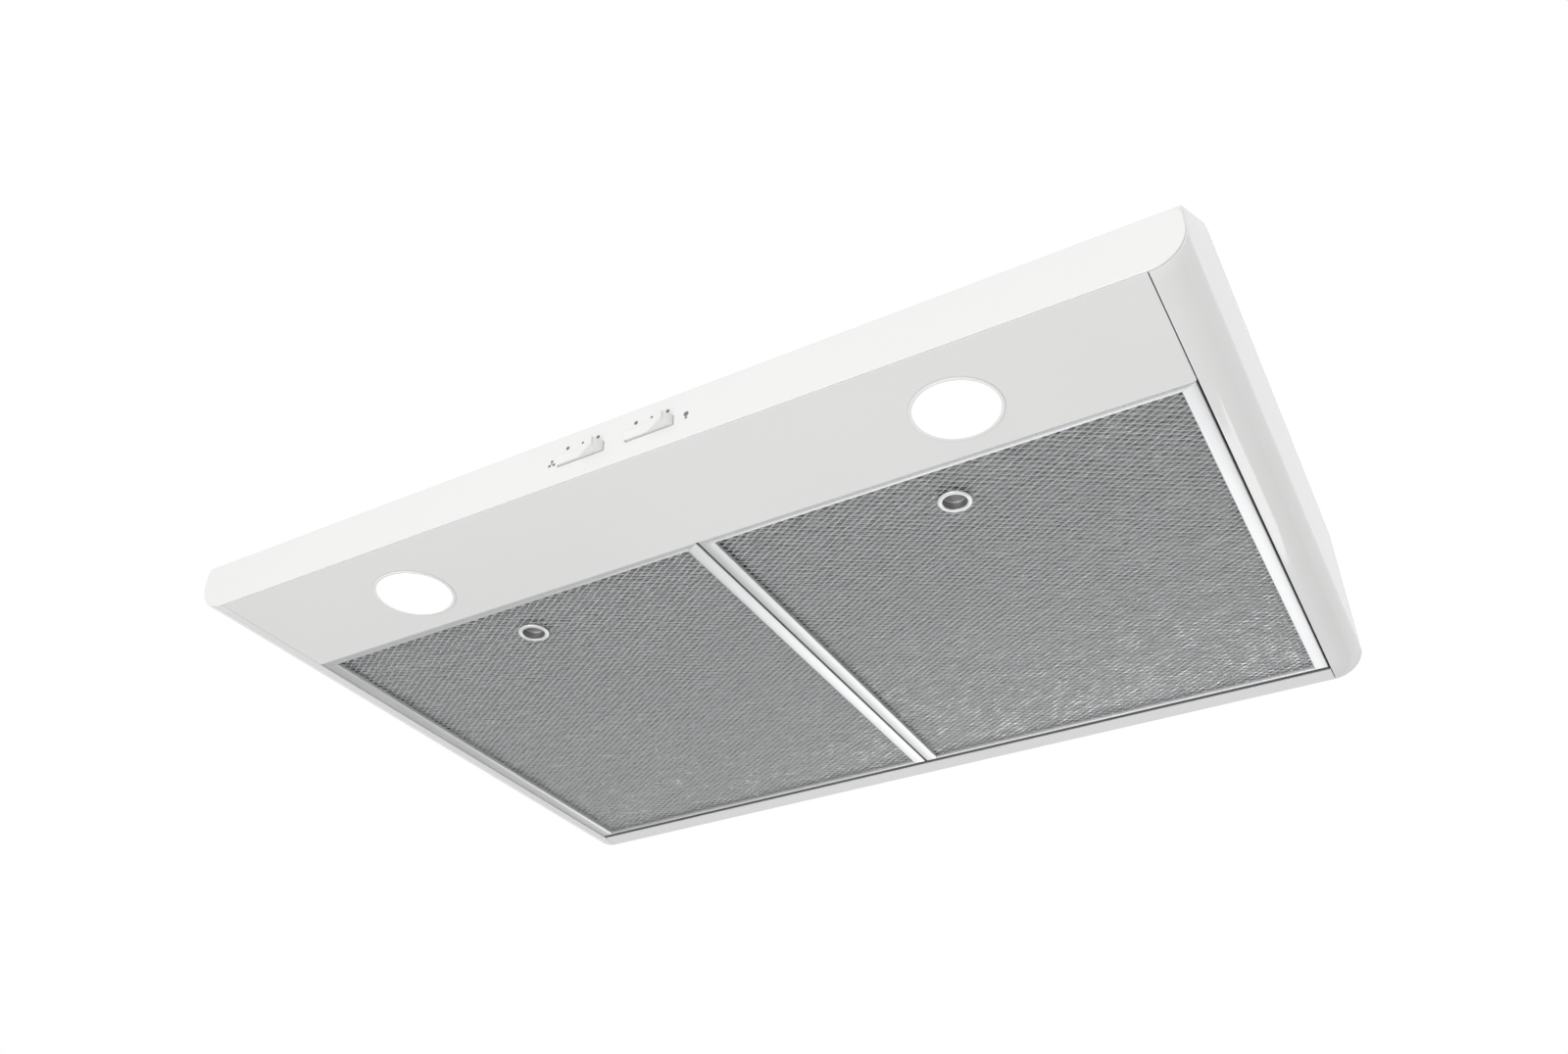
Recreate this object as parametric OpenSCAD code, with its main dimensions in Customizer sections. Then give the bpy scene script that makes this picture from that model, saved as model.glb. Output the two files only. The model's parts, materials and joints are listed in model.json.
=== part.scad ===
// Under cabinet range hood.
// Millimetres. +X is the right of the hood seen from the cook, +Y points at the wall, +Z is up.
// The origin is the middle of the flat top face, the face that meets the cabinet.

/* [Hood shell] */
// overall width
hood_w = 760; // [590:10:920]
// overall depth, fascia to wall
hood_d = 520; // [450:5:560]
// overall height, underside to cabinet
hood_h = 137; // [125:1:160]
// outer radius of the rolled lower corners
corner_r = 25; // [10:1:30]
// steel sheet thickness
sheet_t = 1.2; // [0.8:0.1:1.5]
// height of the front fascia
fascia_h = 39.5; // [36:0.5:60]
// thickness of the front fascia
fascia_t = 1.6; // [1.2:0.1:3]
// radius of the fascia's top corners
fascia_top_r = 6; // [1:0.5:8]
// rise of the front slope above level, degrees
slope_deg = 40; // [30:1:55]
// outer radius of the bend between slope and flat top
bend_r = 45; // [10:1:60]
// depth of the light panel behind the fascia
light_panel_d = 101.2; // [90:0.1:120]
// depth of the rear lip, from the wall
rear_lip_d = 17.2; // [12:0.1:30]

/* [Filters] */
// length of a filter, front to rear
filter_l = 394.7; // [300:0.1:400]
// thickness of a filter frame
filter_t = 9.5; // [8:0.5:12]
// half of the gap between the two filters
filter_mid_gap = 0.8; // [0.5:0.1:2]
// gap between a filter and the side shell
filter_side_gap = 1.4; // [0.5:0.1:3]
// width of a filter frame's side borders
border_side = 10.3; // [8:0.1:14]
// width of a filter frame's front border
border_front = 6.5; // [5:0.5:12]
// thickness of a filter frame's doubled rear wall
border_rear = 1.6; // [1.6:0.1:12]
// how far the mesh lies above the frame's lower face
mesh_depth = 3; // [1:0.5:5]
// outer radius of a pull ring
pull_r = 12; // [10:0.5:16]
// inner radius of a pull ring
pull_bore_r = 8.5; // [6:0.5:10]
// distance of a pull ring's centre behind the filter's front edge
pull_back = 46; // [30:1:80]

/* [Lights] */
// distance of each light from the hood's centre line
light_x = 217; // [150:1:280]
// distance of each light behind the fascia's face
light_y = 57.8; // [40:0.1:75]
// radius of the glass lens
lens_r = 27.2; // [20:0.1:30]
// outer radius of the bezel
bezel_r = 30; // [24:0.5:34]

/* [Switches] */
// distance of each switch from the hood's centre line
switch_x = 27.2; // [22:0.1:40]
// height of the switches' centre above the underside
switch_z = 18.6; // [15:0.1:22]
// half length of a switch opening
opening_l = 18.5; // [17:0.1:20]
// half height of a switch opening
opening_h = 4; // [3.8:0.1:7]
// tilt of a switch button at rest, right end out, degrees
rest_tilt = 13; // [0:1:15]

/* [Blower] */
// inner radius of the scroll
scroll_r = 56; // [50:1:58]
// inner width of the scroll, which is the duct's long side
duct_w = 252; // [200:1:260]
// inner depth of the duct, its short side
duct_d = 80; // [70:1:90]
// distance of the blower's axis from the hood's middle, towards the wall
blower_y = 180; // [150:1:190]
// outer radius of the wheel
wheel_r = 44; // [38:1:46]
// number of blades in the wheel
blade_count = 28; // [16:1:40]
// radius of the motor shaft
shaft_r = 4; // [3:0.5:6]
// height of the duct collar above the cabinet face
collar_h = 50; // [25:1:60]

/* [Cable inlet] */
// inner radius of the cable bushing
bushing_bore_r = 7; // [5:0.5:8]
// position of the cable bushing, to the right
bushing_x = 302; // [280:1:320]
// position of the cable bushing, towards the wall
bushing_y = 215; // [190:1:225]

/* [Hidden] */

$fn = 64;
eps = 0.01;
z_low = -hood_h;
y_front = -hood_d / 2;
y_rear = hood_d / 2;
y_shell_front = y_front + fascia_t;
y_shell_rear = y_rear - sheet_t;
slope_top_y = y_front + (hood_h - fascia_h) / tan(slope_deg);
bend_tangent = bend_r * tan(slope_deg / 2);
bend_y = slope_top_y + bend_tangent;
seam_x = hood_w / 2 - corner_r;
panel_gap = 0.5;
upturn_h = 6.8;
lip_front_y = y_rear - rear_lip_d;

filter_front_y = y_shell_front + light_panel_d + 0.5;
filter_rear_y = filter_front_y + filter_l;
filter_z = z_low + 0.4;
filter_w = seam_x - filter_side_gap - filter_mid_gap;
filter_x = filter_mid_gap + filter_w / 2;
frame_t = 0.8;
mesh_t = 0.6;
mesh_z = filter_z + mesh_depth;
mesh_upper_z = filter_z + filter_t - frame_t - mesh_t;
tab_w = 20;
tab_l = 11;
tab_x = 110;
pull_y = filter_front_y + pull_back;
pull_lip_t = 1.6;
pull_wall_t = 0.8;
pull_depth = 7;

lamp_y = y_front + light_y;
panel_hole_r = lens_r + 0.8;
can_h = 40;
can_r = 30;
socket_r = 11.8;
bulb_r = 25;
bulb_neck_r = 8;

switch_z_mid = z_low + switch_z;
pivot_y = y_front + 3;
button_l = 17.4;
button_r = 18.2;
button_h = 3.4;
pin_r = 1.2;
running_gap = 0.05;
body_wall = 1.6;
body_l = 19.2;
body_h = 5.4;
body_d = 19;

blower_z = -(scroll_r + 10);
duct_y = blower_y + scroll_r - duct_d / 2;
wheel_w = 232;
wheel_inner_r = wheel_r - 8;
blade_t = 0.8;
hub_r = 11;
hub_w = 24;
inlet_r = 36;
flange_w = 14;
screw_r = 1.75;
screw_head_r = 3.6;
screw_head_h = 2.2;
hole_r = 1.9;
screw_tip_gap = 0.2;
cabinet_hole_r = 3.5;
cabinet_hole_dx = 660;
cabinet_hole_dy = 200;
motor_r = 28;
motor_l = 50;
bracket_x = -duct_w / 2 - sheet_t - 22;
bracket_t = 1.6;
bracket_w = 40;
bracket_half_h = 44;
flap_z = 14;
flap_t = 0.8;
flap_pin_r = 1.5;
knuckle_r = 2.8;
knuckle_l = 24;
flap_pin_y = duct_y - duct_d / 2 + 4;
ledge_d = 3;
collar_flange_t = 1;
duct_hole_gap = 0.2;
stack_z = -sheet_t - collar_flange_t;

inlet_z = -2 * sheet_t;
notch_w = 44;
box_w = 80;
box_d = 72;
box_h = 44;
bushing_r = 11;
bushing_hole_r = 11.1;
bushing_flange_r = 14;

steel_white = [0.93, 0.93, 0.92];
steel_bare = [0.72, 0.73, 0.74];
aluminium = [0.80, 0.81, 0.82];
plastic_white = [0.95, 0.95, 0.94];
plastic_dark = [0.16, 0.16, 0.17];
glass_white = [0.97, 0.97, 0.96];

// ---- helpers ----

// Extrude a (Y, Z) profile along X, from x0.
module along_x(x0, length) {
    translate([x0, 0, 0]) rotate([90, 0, 90]) linear_extrude(length) children();
}

// Extrude an (X, Z) profile towards the wall, from y0.
module along_y(y0, length) {
    translate([0, y0 + length, 0]) rotate([90, 0, 0]) linear_extrude(length) children();
}

// A cylinder along X, from x0.
module rod_x(x0, length, r) {
    translate([x0, 0, 0]) rotate([0, 90, 0]) cylinder(h = length, r = r);
}

module ring(h, r_out, r_in) {
    difference() {
        cylinder(h = h, r = r_out);
        translate([0, 0, -eps]) cylinder(h = h + 2 * eps, r = r_in);
    }
}

// Everything under the roof line: the front slope, its bend and the flat top, moved in by inset.
module under_roof(inset) {
    y_start = y_front - 30;
    slope_z = z_low + fascia_h - 30 * tan(slope_deg) - inset / cos(slope_deg);
    r = bend_r - inset;
    below = z_low - 60;
    polygon([[y_start, slope_z],
             [bend_y - r * sin(slope_deg), -bend_r + r * cos(slope_deg)],
             [bend_y, -inset],
             [y_rear + 30, -inset],
             [y_rear + 30, below],
             [y_start, below]]);
    translate([bend_y, -bend_r]) circle(r = r);
}

module roof_sheet_profile() {
    difference() {
        under_roof(0);
        under_roof(sheet_t);
    }
}

// A plate's (X, Z) outline with rounded lower corners and, if asked, rounded top corners.
module plate_outline(w, h, low_r, top_r) {
    translate([-w / 2 + low_r, 0]) square([w - 2 * low_r, low_r + eps]);
    translate([-w / 2, low_r]) square([w, h - low_r - top_r]);
    intersection() {
        for (side = [-1, 1]) {
            translate([side * (w / 2 - low_r), low_r]) circle(r = low_r);
        }
        translate([-w / 2, 0]) square([w, low_r + eps]);
    }
    if (top_r > 0) {
        translate([-w / 2 + top_r, h - top_r - eps]) square([w - 2 * top_r, top_r + eps]);
        for (side = [-1, 1]) {
            translate([side * (w / 2 - top_r), h - top_r]) circle(r = top_r);
        }
    }
}

// A pan head screw standing on z = 0 with its shank pointing down.
module screw(length) {
    cylinder(h = screw_head_h, r = screw_head_r);
    translate([0, 0, -length]) cylinder(h = length + eps, r = screw_r);
}

// ---- shell ----

module blower_screw_spots() {
    for (x = [-1, 1], y = [-1, 1]) {
        translate([x * (duct_w / 2 + sheet_t + flange_w / 2), duct_y + y * 28, 0]) children();
    }
}

module collar_screw_spots() {
    for (x = [-1, 1], y = [-1, 1]) {
        translate([x * 70, duct_y + y * (duct_d / 2 + sheet_t + flange_w / 2), 0]) children();
    }
}

module cabinet_screw_spots() {
    for (x = [-1, 1], y = [-1, 1]) {
        translate([x * cabinet_hole_dx / 2, y * cabinet_hole_dy / 2, 0]) children();
    }
}

module through_hole(r) {
    translate([0, 0, -8]) cylinder(h = 16, r = r);
}

module top_panel() {
    half = hood_w / 2 - sheet_t;
    duct_hole_w = duct_w + 2 * (sheet_t + duct_hole_gap);
    duct_hole_d = duct_d + 2 * (sheet_t + duct_hole_gap);
    color(steel_white)
    difference() {
        union() {
            intersection() {
                along_x(-half, 2 * half) roof_sheet_profile();
                translate([-half, y_shell_front, z_low])
                    cube([2 * half, y_shell_rear - y_shell_front, hood_h]);
            }
            intersection() {
                along_x(-half, 2 * half) under_roof(0);
                translate([-half, y_shell_front, z_low + fascia_h - 12])
                    cube([2 * half, sheet_t, 16]);
            }
        }
        translate([-duct_hole_w / 2, duct_y - duct_hole_d / 2, -8]) cube([duct_hole_w, duct_hole_d, 16]);
        translate([bushing_x - notch_w / 2, bushing_y - notch_w / 2, -8]) cube([notch_w, hood_d, 16]);
        cabinet_screw_spots() through_hole(cabinet_hole_r);
        blower_screw_spots() through_hole(hole_r);
        collar_screw_spots() through_hole(hole_r);
    }
}

// The side shell on the right: wall, rolled lower corner, seam return and top flange.
module side_shell() {
    half = hood_w / 2;
    corner_z = z_low + corner_r;
    return_h = 8;
    top_flange_w = 16;
    intersection() {
        along_x(half - sheet_t, sheet_t) under_roof(0);
        translate([half - sheet_t, y_shell_front, corner_z])
            cube([sheet_t, y_shell_rear - y_shell_front, -corner_z]);
    }
    along_y(y_shell_front, y_shell_rear - y_shell_front)
        intersection() {
            difference() {
                translate([seam_x, corner_z]) circle(r = corner_r);
                translate([seam_x, corner_z]) circle(r = corner_r - sheet_t);
            }
            translate([seam_x, z_low]) square([corner_r, corner_r]);
        }
    translate([seam_x, y_shell_front, z_low])
        cube([sheet_t, y_shell_rear - y_shell_front, return_h]);
    translate([half - sheet_t - top_flange_w, bend_y, -2 * sheet_t])
        cube([top_flange_w + eps, y_shell_rear - bend_y, sheet_t]);
}

module side_panel_right() {
    color(steel_white) side_shell();
}

module side_panel_left() {
    color(steel_white) mirror([1, 0, 0]) side_shell();
}

module front_fascia() {
    color(steel_white)
    difference() {
        translate([0, 0, z_low])
            along_y(y_front, fascia_t) plate_outline(hood_w, fascia_h, corner_r, fascia_top_r);
        for (side = [-1, 1]) {
            translate([side * switch_x - opening_l, y_front - 1, switch_z_mid - opening_h])
                cube([2 * opening_l, fascia_t + 2, 2 * opening_h]);
        }
    }
}

module light_panel() {
    half = seam_x - panel_gap;
    front_flange_h = 9;
    rear_flange_h = 12;
    color(steel_white)
    difference() {
        union() {
            translate([-half, y_shell_front, z_low]) cube([2 * half, light_panel_d, sheet_t]);
            translate([-half, y_shell_front, z_low]) cube([2 * half, sheet_t, front_flange_h]);
            translate([-half, y_shell_front + light_panel_d - sheet_t, z_low])
                cube([2 * half, sheet_t, rear_flange_h]);
        }
        for (side = [-1, 1]) {
            translate([side * light_x, lamp_y, z_low]) through_hole(panel_hole_r);
        }
    }
}

module rear_panel() {
    half = seam_x - panel_gap;
    color(steel_white)
    union() {
        translate([0, 0, z_low])
            along_y(y_shell_rear, sheet_t) plate_outline(hood_w, hood_h, corner_r, 0);
        translate([-half, lip_front_y, z_low]) cube([2 * half, rear_lip_d - sheet_t + eps, sheet_t]);
        translate([-half, lip_front_y, z_low]) cube([2 * half, sheet_t, upturn_h]);
    }
}

// ---- filters: modelled for the right side and mirrored for the left ----

module both_borders_cut(z, h, margin) {
    translate([filter_x - filter_w / 2 + border_side - margin, filter_front_y + border_front - margin, z])
        cube([filter_w - 2 * border_side + 2 * margin,
              filter_l - border_front - border_rear + 2 * margin, h]);
}

module filter_frame() {
    x0 = filter_x - filter_w / 2;
    union() {
        difference() {
            translate([x0, filter_front_y, filter_z]) cube([filter_w, filter_l, filter_t]);
            translate([x0 + frame_t, filter_front_y + frame_t, filter_z + frame_t])
                cube([filter_w - 2 * frame_t, filter_l - 2 * frame_t, filter_t - 2 * frame_t]);
            both_borders_cut(filter_z - 1, filter_t + 2, 0);
        }
        difference() {
            both_borders_cut(filter_z, mesh_depth, frame_t);
            both_borders_cut(filter_z - 1, mesh_depth + 2, 0);
        }
        for (side = [-1, 1]) {
            translate([filter_x + side * tab_x - tab_w / 2, filter_rear_y - 2,
                       filter_z + filter_t - frame_t])
                cube([tab_w, tab_l + 2, frame_t]);
        }
    }
}

// Two thin sheets of mesh, with a hole where the pull's cup passes through.
module filter_mesh() {
    edge = 2;
    x0 = filter_x - filter_w / 2 + edge;
    difference() {
        for (z = [mesh_z, mesh_upper_z]) {
            translate([x0, filter_front_y + edge, z])
                cube([filter_w - 2 * edge, filter_l - edge - frame_t, mesh_t]);
        }
        translate([filter_x, pull_y, mesh_z + 2])
            through_hole(pull_bore_r + pull_wall_t);
    }
}

// A ring under the mesh with a blind cup above it for a fingertip.
module filter_pull() {
    translate([filter_x, pull_y, mesh_z - pull_lip_t]) {
        ring(pull_lip_t, pull_r, pull_bore_r);
        ring(pull_depth + pull_wall_t, pull_bore_r + pull_wall_t, pull_bore_r);
        translate([0, 0, pull_depth]) cylinder(h = pull_wall_t, r = pull_bore_r + eps);
    }
}

module filter_frame_right() {
    color(aluminium) filter_frame();
}

module filter_frame_left() {
    color(aluminium) mirror([1, 0, 0]) filter_frame();
}

module filter_mesh_right() {
    color(steel_bare) filter_mesh();
}

module filter_mesh_left() {
    color(steel_bare) mirror([1, 0, 0]) filter_mesh();
}

module filter_pull_right() {
    color(aluminium) filter_pull();
}

module filter_pull_left() {
    color(aluminium) mirror([1, 0, 0]) filter_pull();
}

// A plastic channel pressed over the rear lip's upturn, which the filters close against.
module filter_rail() {
    half = seam_x - panel_gap;
    front_t = 3.2;
    rear_t = 2;
    z0 = z_low + 1;
    z1 = z_low + 8.6;
    color(plastic_dark)
    difference() {
        translate([-half, lip_front_y - front_t, z0]) cube([2 * half, front_t + sheet_t + rear_t, z1 - z0]);
        translate([-half - 1, lip_front_y, z_low - 1]) cube([2 * half + 2, sheet_t, upturn_h + 1]);
        translate([-half - 1, lip_front_y, z_low - 1]) cube([2 * half + 2, sheet_t + rear_t + 1, sheet_t + 1]);
    }
}

// Bowed leaf springs on the wall panel, one behind each filter tab.
module filter_springs() {
    leaf_t = 0.5;
    nose_y = filter_rear_y + tab_l + 0.5;
    nose_z = filter_z + filter_t - frame_t / 2;
    foot_h = 6;
    color(steel_bare)
    for (side = [-1, 1], spot = [-1, 1]) {
        along_x(side * filter_x + spot * tab_x - tab_w / 2 + 3, tab_w - 6)
            polygon([[nose_y, nose_z],
                     [y_shell_rear, nose_z + foot_h],
                     [y_shell_rear, nose_z + foot_h - 2 * leaf_t],
                     [nose_y + 3 * leaf_t, nose_z],
                     [y_shell_rear, nose_z - foot_h + 2 * leaf_t],
                     [y_shell_rear, nose_z - foot_h]]);
    }
}

// ---- lights: modelled at their own centre, then placed left and right ----

module at_light(side) {
    translate([side * light_x, lamp_y, z_low]) children();
}

module lamp_bezel() {
    rim_h = 1;
    sleeve_h = 4;
    translate([0, 0, -rim_h]) ring(rim_h, bezel_r, lens_r + 0.1);
    translate([0, 0, -eps]) ring(sleeve_h, panel_hole_r - 0.1, lens_r + 0.1);
}

module lamp_lens() {
    translate([0, 0, -0.6]) cylinder(h = 2.8, r = lens_r);
}

module lamp_can() {
    wall = 0.8;
    translate([0, 0, sheet_t]) {
        ring(1, can_r + 6, can_r - wall);
        ring(can_h, can_r, can_r - wall);
        translate([0, 0, can_h - wall]) ring(wall, can_r - wall + eps, socket_r + 0.1);
    }
}

module lamp_bulb() {
    translate([0, 0, 4]) cylinder(h = 3, r = bulb_r);
    translate([0, 0, 7]) cylinder(h = 27, r1 = bulb_r, r2 = bulb_neck_r + 2);
    translate([0, 0, 34 - eps]) cylinder(h = 14, r = bulb_neck_r);
}

module lamp_socket() {
    translate([0, 0, 35]) difference() {
        cylinder(h = 20, r = socket_r);
        translate([0, 0, -eps]) cylinder(h = 14, r = bulb_neck_r + 0.2);
    }
}

module lamp_bezel_left() {
    color(plastic_white) at_light(-1) lamp_bezel();
}

module lamp_bezel_right() {
    color(plastic_white) at_light(1) lamp_bezel();
}

module lamp_lens_left() {
    color(glass_white) at_light(-1) lamp_lens();
}

module lamp_lens_right() {
    color(glass_white) at_light(1) lamp_lens();
}

module lamp_can_left() {
    color(aluminium) at_light(-1) lamp_can();
}

module lamp_can_right() {
    color(aluminium) at_light(1) lamp_can();
}

module lamp_bulb_left() {
    color(glass_white) at_light(-1) lamp_bulb();
}

module lamp_bulb_right() {
    color(glass_white) at_light(1) lamp_bulb();
}

module lamp_socket_left() {
    color(plastic_dark) at_light(-1) lamp_socket();
}

module lamp_socket_right() {
    color(plastic_dark) at_light(1) lamp_socket();
}

// ---- switches: modelled round their own pivot ----

module at_switch(side) {
    translate([side * switch_x, pivot_y, switch_z_mid]) children();
}

// The button's face is a V, so that either end can be pressed, and its ends are round about the pin.
module rocker_outline() {
    front_y = -8.6;
    middle_y = -4.6;
    intersection() {
        polygon([[-button_l, front_y], [0, middle_y], [button_l, front_y], [button_r, -4], [button_r, 4.5],
                 [9, 7], [-9, 7], [-button_r, 4.5], [-button_r, -4]]);
        union() {
            circle(r = button_r);
            translate([-button_l, front_y - 1]) square([2 * button_l, 2]);
        }
    }
}

module rocker() {
    rotate([0, 0, -rest_tilt])
    difference() {
        translate([0, 0, -button_h]) linear_extrude(2 * button_h) rocker_outline();
        translate([0, 0, -button_h - 1]) cylinder(h = 2 * button_h + 2, r = pin_r + running_gap);
    }
}

module switch_body() {
    front = y_shell_front - pivot_y;
    difference() {
        translate([-body_l - body_wall, front, -body_h - body_wall])
            cube([2 * (body_l + body_wall), body_d, 2 * (body_h + body_wall)]);
        translate([-body_l, front - 1, -body_h]) cube([2 * body_l, 12, 2 * body_h]);
        cylinder(h = 40, r = pin_r, center = true);
    }
}

module switch_pin() {
    length = 2 * (body_h + body_wall);
    cylinder(h = length, r = pin_r, center = true);
}

module rocker_left() {
    color(plastic_white) at_switch(-1) rocker();
}

module rocker_right() {
    color(plastic_white) at_switch(1) rocker();
}

module switch_body_left() {
    color(plastic_dark) at_switch(-1) switch_body();
}

module switch_body_right() {
    color(plastic_dark) at_switch(1) switch_body();
}

module switch_pin_left() {
    color(steel_bare) at_switch(-1) switch_pin();
}

module switch_pin_right() {
    color(steel_bare) at_switch(1) switch_pin();
}

// ---- blower ----

module at_blower() {
    translate([0, blower_y, blower_z]) children();
}

// The scroll's (Y, Z) outline about the blower's axis, grown by t: a drum with a chimney to the duct.
module scroll_outline(t, chimney_top) {
    circle(r = scroll_r + t);
    translate([scroll_r - duct_d - t, 0]) square([duct_d + 2 * t, chimney_top]);
}

module blower_scroll() {
    chimney = stack_z - blower_z;
    color(steel_bare) at_blower()
        along_x(-duct_w / 2, duct_w)
            difference() {
                scroll_outline(sheet_t, chimney);
                scroll_outline(0, chimney + 1);
            }
}

// A side plate of the scroll with its air inlet and a flange under the collar's flange.
module blower_cheek() {
    chimney = stack_z - blower_z;
    difference() {
        union() {
            at_blower() along_x(duct_w / 2, sheet_t) difference() {
                scroll_outline(sheet_t, chimney);
                circle(r = inlet_r);
            }
            translate([duct_w / 2, duct_y - duct_d / 2, stack_z - sheet_t])
                cube([sheet_t + flange_w, duct_d, sheet_t]);
        }
        blower_screw_spots() through_hole(hole_r);
    }
}

module blower_cheek_right() {
    color(steel_bare) blower_cheek();
}

module blower_cheek_left() {
    color(steel_bare) mirror([1, 0, 0]) blower_cheek();
}

// A drum of forward leaning blades between two end rings, on a middle disc.
module blower_wheel() {
    ring_w = 4;
    disc_w = 1.5;
    lean = 35;
    mid_r = (wheel_r + wheel_inner_r) / 2;
    color(plastic_dark) at_blower()
    difference() {
        union() {
            for (x = [-wheel_w / 2, wheel_w / 2 - ring_w]) {
                translate([x, 0, 0]) rotate([0, 90, 0]) ring(ring_w, wheel_r, wheel_inner_r);
            }
            rod_x(-disc_w / 2, disc_w, wheel_r);
            rod_x(-hub_w / 2, hub_w, hub_r);
            for (i = [0 : blade_count - 1]) {
                rotate([i * 360 / blade_count, 0, 0])
                    translate([-wheel_w / 2 + 1, 0, mid_r])
                        rotate([lean, 0, 0])
                            translate([0, -blade_t / 2, -3.5]) cube([wheel_w - 2, blade_t, 7]);
            }
        }
        rod_x(-hub_w, 2 * hub_w, shaft_r);
    }
}

module motor_shaft() {
    start = bracket_x - motor_l + 10;
    end = hub_w / 2 + 6;
    color(steel_bare) at_blower() rod_x(start, end - start, shaft_r);
}

module motor_body() {
    boss_r = 12;
    color(steel_bare) at_blower()
    difference() {
        union() {
            rod_x(bracket_x - motor_l, motor_l, motor_r);
            rod_x(bracket_x - eps, 6, boss_r);
        }
        rod_x(bracket_x - motor_l + 8, motor_l + 20, shaft_r + running_gap);
    }
}

// A strap across the inlet that carries the motor, with a foot on the side plate at each end.
module motor_bracket() {
    cheek_x = -duct_w / 2 - sheet_t;
    leg = cheek_x - bracket_x;
    foot_h = 8;
    color(steel_bare) at_blower()
    difference() {
        union() {
            translate([bracket_x, -bracket_w / 2, -bracket_half_h])
                cube([bracket_t, bracket_w, 2 * bracket_half_h]);
            for (side = [-1, 1]) {
                translate([bracket_x, -bracket_w / 2, side * (bracket_half_h - bracket_t / 2) - bracket_t / 2])
                    cube([leg, bracket_w, bracket_t]);
                translate([cheek_x - bracket_t, -bracket_w / 2,
                           side * (bracket_half_h + foot_h / 2 - bracket_t) - foot_h / 2])
                    cube([bracket_t, bracket_w, foot_h]);
            }
        }
        rod_x(bracket_x - 1, bracket_t + 2, 12.1);
    }
}

// ---- duct collar and damper ----

// The collar stands up through the hood's top, with its flange held against the underside.
module duct_collar() {
    outer_w = duct_w + 2 * sheet_t;
    outer_d = duct_d + 2 * sheet_t;
    color(steel_bare)
    translate([0, duct_y, 0])
    difference() {
        union() {
            translate([-outer_w / 2, -outer_d / 2, stack_z]) cube([outer_w, outer_d, collar_h - stack_z]);
            translate([-outer_w / 2 - flange_w, -outer_d / 2 - flange_w, stack_z])
                cube([outer_w + 2 * flange_w, outer_d + 2 * flange_w, collar_flange_t]);
        }
        difference() {
            translate([-duct_w / 2, -duct_d / 2, stack_z - 1]) cube([duct_w, duct_d, collar_h + 6]);
            translate([-duct_w / 2 - 1, duct_d / 2 - ledge_d, flap_z - flap_t / 2 - 0.3 - sheet_t])
                cube([duct_w + 2, ledge_d + 1, sheet_t]);
        }
        translate([0, flap_pin_y - duct_y, flap_z]) rod_x(-duct_w, 2 * duct_w, flap_pin_r);
        translate([0, -duct_y, 0]) collar_screw_spots() through_hole(hole_r);
        translate([0, -duct_y, 0]) blower_screw_spots() through_hole(hole_r);
    }
}

module damper_pin() {
    length = duct_w + 2 * sheet_t;
    color(steel_bare) translate([0, flap_pin_y, flap_z]) rod_x(-length / 2, length, flap_pin_r);
}

// A thin flap that lies on the ledge and lifts about the pin along its front edge.
module damper_flap() {
    side_gap = 0.6;
    flap_w = duct_w - 2 * side_gap;
    flap_l = duct_y + duct_d / 2 - side_gap - flap_pin_y;
    bore_r = flap_pin_r + running_gap;
    color(aluminium) translate([0, flap_pin_y, flap_z])
    difference() {
        union() {
            translate([-flap_w / 2, 0, -flap_t / 2]) cube([flap_w, flap_l, flap_t]);
            for (x = [-90, 90]) {
                rod_x(x - knuckle_l / 2, knuckle_l, knuckle_r);
            }
        }
        rod_x(-flap_w, 2 * flap_w, bore_r);
        for (gap = [[-duct_w, -90 - knuckle_l / 2], [-90 + knuckle_l / 2, 90 - knuckle_l / 2],
                    [90 + knuckle_l / 2, duct_w]]) {
            translate([gap[0], -1, -knuckle_r]) cube([gap[1] - gap[0], 3.2, 2 * knuckle_r]);
        }
    }
}

// ---- wiring ----

module cover_screw_spots() {
    for (side = [-1, 1]) {
        translate([bushing_x + side * (box_w / 2 - 6), bushing_y, 0]) children();
    }
}

// A plate under the notch in the hood's top, with the knockout for the cable.
module inlet_plate() {
    color(steel_bare)
    translate([bushing_x, bushing_y, inlet_z])
    difference() {
        translate([-box_w / 2, -box_d / 2, 0]) cube([box_w, box_d, sheet_t]);
        through_hole(bushing_hole_r);
    }
}

// Four walls under the inlet plate, with a rim below for the cover and its screws.
module wiring_box() {
    rim_x = 12;
    rim_y = 8;
    low_z = inlet_z - box_h;
    color(steel_bare)
    translate([bushing_x, bushing_y, low_z])
    difference() {
        translate([-box_w / 2, -box_d / 2, 0]) cube([box_w, box_d, box_h]);
        translate([-box_w / 2 + sheet_t, -box_d / 2 + sheet_t, sheet_t])
            cube([box_w - 2 * sheet_t, box_d - 2 * sheet_t, box_h]);
        translate([-box_w / 2 + rim_x, -box_d / 2 + rim_y, -1])
            cube([box_w - 2 * rim_x, box_d - 2 * rim_y, 3 * sheet_t]);
        translate([-bushing_x, -bushing_y, 0]) cover_screw_spots() through_hole(hole_r);
    }
}

module wiring_cover() {
    color(steel_bare)
    difference() {
        translate([bushing_x - box_w / 2, bushing_y - box_d / 2, inlet_z - sheet_t - box_h])
            cube([box_w, box_d, sheet_t]);
        translate([0, 0, inlet_z - box_h]) cover_screw_spots() through_hole(hole_r);
    }
}

module cable_bushing() {
    below = 5;
    above = 3;
    color(plastic_dark)
    translate([bushing_x, bushing_y, inlet_z])
    difference() {
        union() {
            translate([0, 0, -below]) cylinder(h = below + above, r = bushing_r);
            translate([0, 0, -3]) cylinder(h = 3, r = bushing_flange_r);
        }
        translate([0, 0, -below - 1]) cylinder(h = below + above + 2, r = bushing_bore_r);
    }
}

// ---- fasteners ----

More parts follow.
